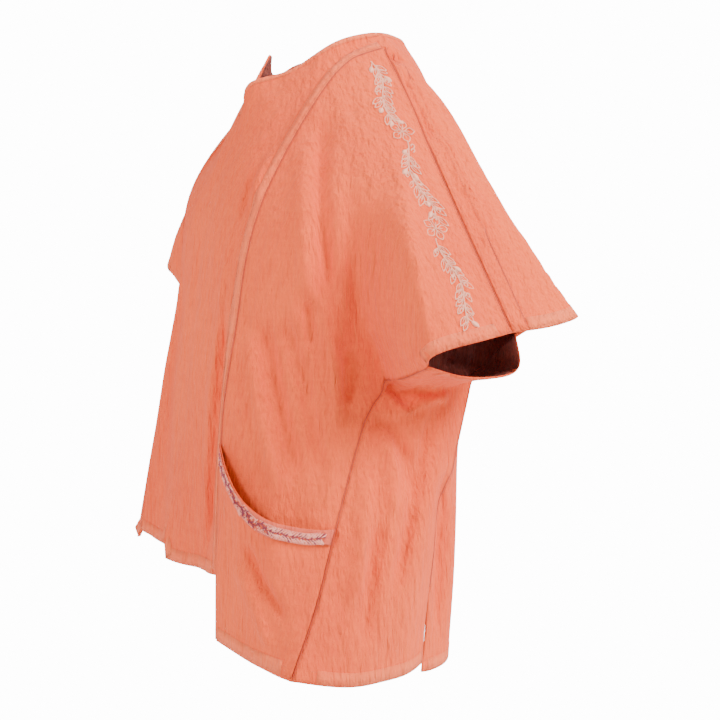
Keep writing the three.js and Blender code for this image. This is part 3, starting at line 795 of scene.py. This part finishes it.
# ---- sleeve vines: an ordinary flowering vine beside each overarm seam ----
VINE_PATH = [
    (371, 62), (382, 92), (396, 122), (406, 152), (418, 182),
    (430, 212), (440, 242), (452, 272), (462, 300), (473, 322),
]
VINE_STEP = 1.6 * MM
VINE_SEED = 11
VINE_SWAY, VINE_TURN = 6.0 * MM, 0.105  # how far the stem sways, and how soon it turns
VINE_SLANT = 0.5
VINE_BOLD = 2.5  # width and height of its satin stitches against the plan
VINE_LIFT = 0.5 * MM
VINE_FLOWERS = (0.30, 0.68)
FLOWER_SIZE, FLOWER_TURN = 18 * MM, 0.3
STEM_CLEAR, LEAF_CLEAR = 0.035, 0.05  # shares of the vine kept free round a flower
STEM_LIFT = 0.2 * MM
TILT = (0.5, 0.85)
LEAF_SIZE = (13.0, 20.0)
LEAF_SHARE, CURL_SHARE = 0.72, 0.88
CURL_BENDS, CURL_TURN, CURL_RADIUS, CURL_OUT = 9, 0.5, 3.4 * MM, 4.6 * MM
CURL_SHRINK = 14
BENDS, PETALS = 5, 5
OUTLINE_OVERLAP = 1.25
OUTLINE_WIDTH, OUTLINE_HEIGHT = 0.62 * MM, 0.3 * MM


def vine_spots(flip):
    """The vine's middle line on one sleeve, as place and normal."""
    hits = [seen(px, py, "side_front_left") for px, py in VINE_PATH]
    line = [hit for hit in hits if hit is not None]
    target = ["side_front_right"] if flip else ["side_front_left"]
    if flip:
        line = [nearest(Vector((-p.x, p.y, p.z)), target)[0] for p in line]
    return [nearest(p, target) for p in spaced(line, VINE_STEP)], target


def outlined(threads, spots, normal):
    """A row of fine stitches from spot to spot."""
    for a, b in zip(spots, spots[1:]):
        length = (b - a).length * OUTLINE_OVERLAP
        along = (b - a).normalized()
        threads.lens((a + b) / 2, normal, along, length, OUTLINE_WIDTH, OUTLINE_HEIGHT)


def leaf(threads, foot, normal, way, size):
    """A pointed leaf, drawn by two bowed rows that meet at its tip, and a short vein."""
    side = normal.cross(way).normalized()
    for edge in (-1, 1):
        spots = []
        for b in range(BENDS + 1):
            t = b / BENDS
            bow = side * edge * size * 0.17 * math.sin(math.pi * t)
            spots.append(foot + way * size * (0.12 + 0.88 * t) + bow)
        outlined(threads, spots, normal)
    threads.lens(foot + way * size * 0.4, normal, way, size * 0.45, 0.45 * MM, 0.25 * MM)


def flower(threads, middle, normal, along, size, turn):
    """A five-petalled blossom: each petal is outlined by two bowed rows, round a knotted heart."""
    side = normal.cross(along).normalized()

    def heading(angle):
        return along * math.cos(angle) + side * math.sin(angle)

    for k in range(PETALS):
        angle = turn + 2 * math.pi * k / PETALS
        for edge in (-1, 1):
            spots = []
            for b in range(BENDS + 1):
                t = b / BENDS
                bowed = heading(angle + edge * 0.50 * math.sin(math.pi * t))
                spots.append(middle + bowed * (size * (0.14 + 0.72 * t)))
            outlined(threads, spots, normal)
        vein = heading(angle).normalized()
        threads.lens(middle + vein * size * 0.36, normal, vein, size * 0.3, 0.5 * MM, 0.3 * MM)
    for k in range(PETALS):
        way = heading(2 * math.pi * k / PETALS)
        threads.lens(middle + way * size * 0.08, normal, way, 2.0 * MM, 0.8 * MM, 0.4 * MM)


def curl(threads, foot, slope, outward, tilt, target):
    """A small spiral tendril beside the stem."""
    for bend in range(CURL_BENDS):
        angle = tilt + bend * CURL_TURN
        radius = (1 - bend / CURL_SHRINK) * CURL_RADIUS
        round_it = slope * math.cos(angle) + outward * math.sin(angle)
        place, lean = nearest(foot + outward * CURL_OUT + round_it * radius, target)
        turn = (outward * math.cos(angle) - slope * math.sin(angle)).normalized()
        threads.lens(place, lean, turn, 2.3 * MM, 0.8 * MM, 0.4 * MM)


def bud(threads, foot, normal, way, size, target):
    """A padded bud on a short stalk."""
    middle, lean = nearest(foot + way * size * 0.62, target)
    threads.lens(middle, lean, way, size * 0.55, 2.6 * MM, 0.7 * MM)
    threads.lens(foot + way * size * 0.2, normal, way, size * 0.4, 0.7 * MM, 0.3 * MM)


def stem_line(spots, target):
    """The swaying stem: place, normal, direction along and direction to the side."""
    last = len(spots) - 1
    stem = []
    for k, (p, n) in enumerate(spots):
        along = (spots[min(last, k + 2)][0] - spots[max(0, k - 2)][0]).normalized()
        side = n.cross(along).normalized()
        q, m = nearest(p + side * (math.sin(k * VINE_TURN) * VINE_SWAY), target)
        stem.append((q, m, along, side))
    return stem


for flip in (False, True):
    draw = random.Random(VINE_SEED)
    threads = Threads(VINE_BOLD, VINE_LIFT)
    spots, target = vine_spots(flip)
    stem = stem_line(spots, target)
    last = len(stem) - 1
    for k, (q, m, along, side) in enumerate(stem):
        from_flower = min(abs(k / last - f) for f in VINE_FLOWERS)
        slope = (along + side * VINE_SLANT * math.cos(k * VINE_TURN)).normalized()
        if from_flower > STEM_CLEAR:
            threads.lens(q + m * STEM_LIFT, m, slope, 2.2 * MM, 0.9 * MM, 0.4 * MM)
        if k % 2 == 1 and from_flower > LEAF_CLEAR:
            outward = side * (1 if (k // 2) % 2 else -1)
            tilt = draw.uniform(*TILT)
            way = (slope * math.cos(tilt) + outward * math.sin(tilt)).normalized()
            size = draw.uniform(*LEAF_SIZE) * MM
            kind = draw.random()
            if kind < LEAF_SHARE:
                leaf(threads, q, m, way, size)
            elif kind < CURL_SHARE:
                curl(threads, q, slope, outward, tilt, target)
            else:
                bud(threads, q, m, way, size, target)
    for f in VINE_FLOWERS:
        q, m, along, side = stem[int(f * last)]
        flower(threads, q, m, along, FLOWER_SIZE, FLOWER_TURN)
    side_name = "right" if flip else "left"
    threads.build(f"sleeve_vine_{side_name}", vine_thread, f"side_front_{side_name}")

# ---- pocket band: rows of small blossoms and a darker running vine ----
BAND_BINS = 34
BAND_SEED = 5
BAND_STEP = 1.7 * MM
BAND_OUT = Vector((0.004, -0.008, 0))  # from the band's middle to outside it
WAVE, WAVE_TURN = 2.6 * MM, 0.42
BAND_ROW = 5.6 * MM  # from the middle to each row of pale stitches
PALE_END = 0.72  # past this share of the band, pale leaves take over
PALE_SPREAD, PALE_ROW = 0.9, 3.4 * MM
PETAL_OUT = 1.5 * MM
pale, mauve = Threads(1.2, 0.3 * MM), Threads(2.2, 0.3 * MM)


def on_band(point):
    """Nearest place on the pocket band, with its normal."""
    return nearest(point, ["pocket_band_left"])


def band_middle():
    """The band's middle line, from the means of slices across it."""
    points = [v.co.copy() for v in panels["pocket_band_left"].data.vertices]
    low, high = min(p.x for p in points), max(p.x for p in points)
    edges = [low + (high - low) * k / BAND_BINS for k in range(BAND_BINS + 1)]
    middle = []
    for near, far in zip(edges, edges[1:]):
        inside = [p for p in points if near <= p.x <= far]
        if inside:
            middle.append(sum(inside, Vector()) / len(inside))
    return middle


draw = random.Random(BAND_SEED)
line = spaced(band_middle(), BAND_STEP)
for k in range(1, len(line) - 1):
    along = (line[k + 1] - line[k - 1]).normalized()
    hit, normal = on_band(line[k] + BAND_OUT)
    side = normal.cross(along).normalized()
    wave = math.sin(k * WAVE_TURN) * WAVE
    spot, lean = on_band(hit + side * wave)
    way = (along + side * math.cos(k * WAVE_TURN) * 0.65).normalized()
    mauve.lens(spot + lean * 0.2 * MM, lean, way, 2.4 * MM, 0.8 * MM, 0.4 * MM)
    for edge in (-BAND_ROW, BAND_ROW):
        spot, lean = on_band(hit + side * edge)
        way = (along * 0.6 + side).normalized()
        pale.lens(spot + lean * 0.2 * MM, lean, way, 3.0 * MM, 0.8 * MM, 0.4 * MM)
    if k % 2 == 0:
        hand = 1 if (k // 2) % 2 else -1
        spot, lean = on_band(hit + side * (wave + hand * WAVE))
        way = (along * 0.8 + side * hand).normalized()
        mauve.lens(spot + lean * 0.25 * MM, lean, way, 4.4 * MM, 0.9 * MM, 0.4 * MM)
    if k % 2 == 0 and k > PALE_END * len(line):
        for spread in (-PALE_SPREAD, PALE_SPREAD):
            spot, lean = on_band(hit + side * spread * PALE_ROW)
            way = (along + side * spread).normalized()
            pale.lens(spot + lean * 0.4 * MM, lean, way, 6.5 * MM, 1.5 * MM, 0.6 * MM)
    if k % 4 == 0:
        hand = 1 if math.sin(k * WAVE_TURN) < 0 else -1
        for petal in range(PETALS):
            angle = 2 * math.pi * petal / PETALS + draw.uniform(0, 1)
            way = along * math.cos(angle) + side * math.sin(angle)
            spot, lean = on_band(hit + side * hand * WAVE + way * PETAL_OUT)
            pale.lens(spot + lean * 0.3 * MM, lean, way, 2.4 * MM, 1.1 * MM, 0.5 * MM)
pale.build("pocket_band_blossoms", band_thread, "pocket_band_left")
mauve.build("pocket_band_vine", mauve_thread, "pocket_band_left")

# ---- each dressed panel rides on the root, and the frame's own panel is hidden ----
for name, piece in panels.items():
    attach(piece, "root")
    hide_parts(name)

# ---- floor, light and camera ----
FLOOR_Z, FLOOR_SIZE = -1.05, 12
FLOOR_WHITE = (0.95, 0.95, 0.95, 1)
BACKDROP_LIGHT = 14.0
WORLD_LIGHT = 0.72
AIM = Vector((0, -0.05, -0.35))
LAMPS = [
    {"name": "key", "spot": (1.9, 1.1, 1.5), "size": 1.1, "power": 150},
    {"name": "fill", "spot": (0.2, -2.6, 1.2), "size": 0.9, "power": 66},
    {"name": "backdrop", "spot": (-1.6, 1.4, 1.4), "size": 2.0, "power": 40},
]
SENSOR = 36


def bright_to_camera(tree, shader_output, surface):
    """The stage looks plain white to the camera, and lights the part as before."""
    glow = tree.nodes.new("ShaderNodeEmission")
    glow.inputs["Strength"].default_value = BACKDROP_LIGHT
    seen_by = tree.nodes.new("ShaderNodeLightPath")
    choose = tree.nodes.new("ShaderNodeMixShader")
    tree.links.new(seen_by.outputs["Is Camera Ray"], choose.inputs["Fac"])
    tree.links.new(shader_output, choose.inputs[1])
    tree.links.new(glow.outputs["Emission"], choose.inputs[2])
    tree.links.new(choose.outputs["Shader"], surface)


def lamp(name, spot, size, power):
    """A square lamp aimed at the middle of the garment."""
    data = bpy.data.lights.new(name, "AREA")
    data.energy = power
    data.size = size
    light = bpy.data.objects.new(name, data)
    light.location = spot
    light.rotation_euler = (AIM - Vector(spot)).to_track_quat("-Z", "Y").to_euler()
    bpy.context.scene.collection.objects.link(light)


bpy.ops.mesh.primitive_plane_add(size=FLOOR_SIZE, location=(0, 0, FLOOR_Z))
floor = bpy.context.object
floor.name = "studio_floor"
floor_material, floor_shader = new_material("studio_white", 1.0)
floor_shader.inputs["Base Color"].default_value = FLOOR_WHITE
floor_shader.inputs["Sheen Weight"].default_value = 0
floor.data.materials.append(floor_material)
floor_tree = floor_material.node_tree
floor_surface = floor_tree.nodes["Material Output"].inputs["Surface"]
bright_to_camera(floor_tree, floor_shader.outputs["BSDF"], floor_surface)

world = bpy.data.worlds.new("studio")
bpy.context.scene.world = world
world.use_nodes = True
background = world.node_tree.nodes["Background"]
background.inputs["Color"].default_value = (1, 1, 1, 1)
background.inputs["Strength"].default_value = WORLD_LIGHT
world_surface = world.node_tree.nodes["World Output"].inputs["Surface"]
bright_to_camera(world.node_tree, background.outputs["Background"], world_surface)

for row in LAMPS:
    lamp(**row)

camera_data = bpy.data.cameras.new("camera")
camera = bpy.data.objects.new("camera", camera_data)
bpy.context.scene.collection.objects.link(camera)
camera.location = EYE
camera.rotation_euler = (math.pi / 2 - CAMERA_PITCH, 0, CAMERA_AZIMUTH)
camera_data.sensor_width = SENSOR
camera_data.lens = SENSOR * FOCAL_PX / PHOTO_PX
bpy.context.scene.camera = camera
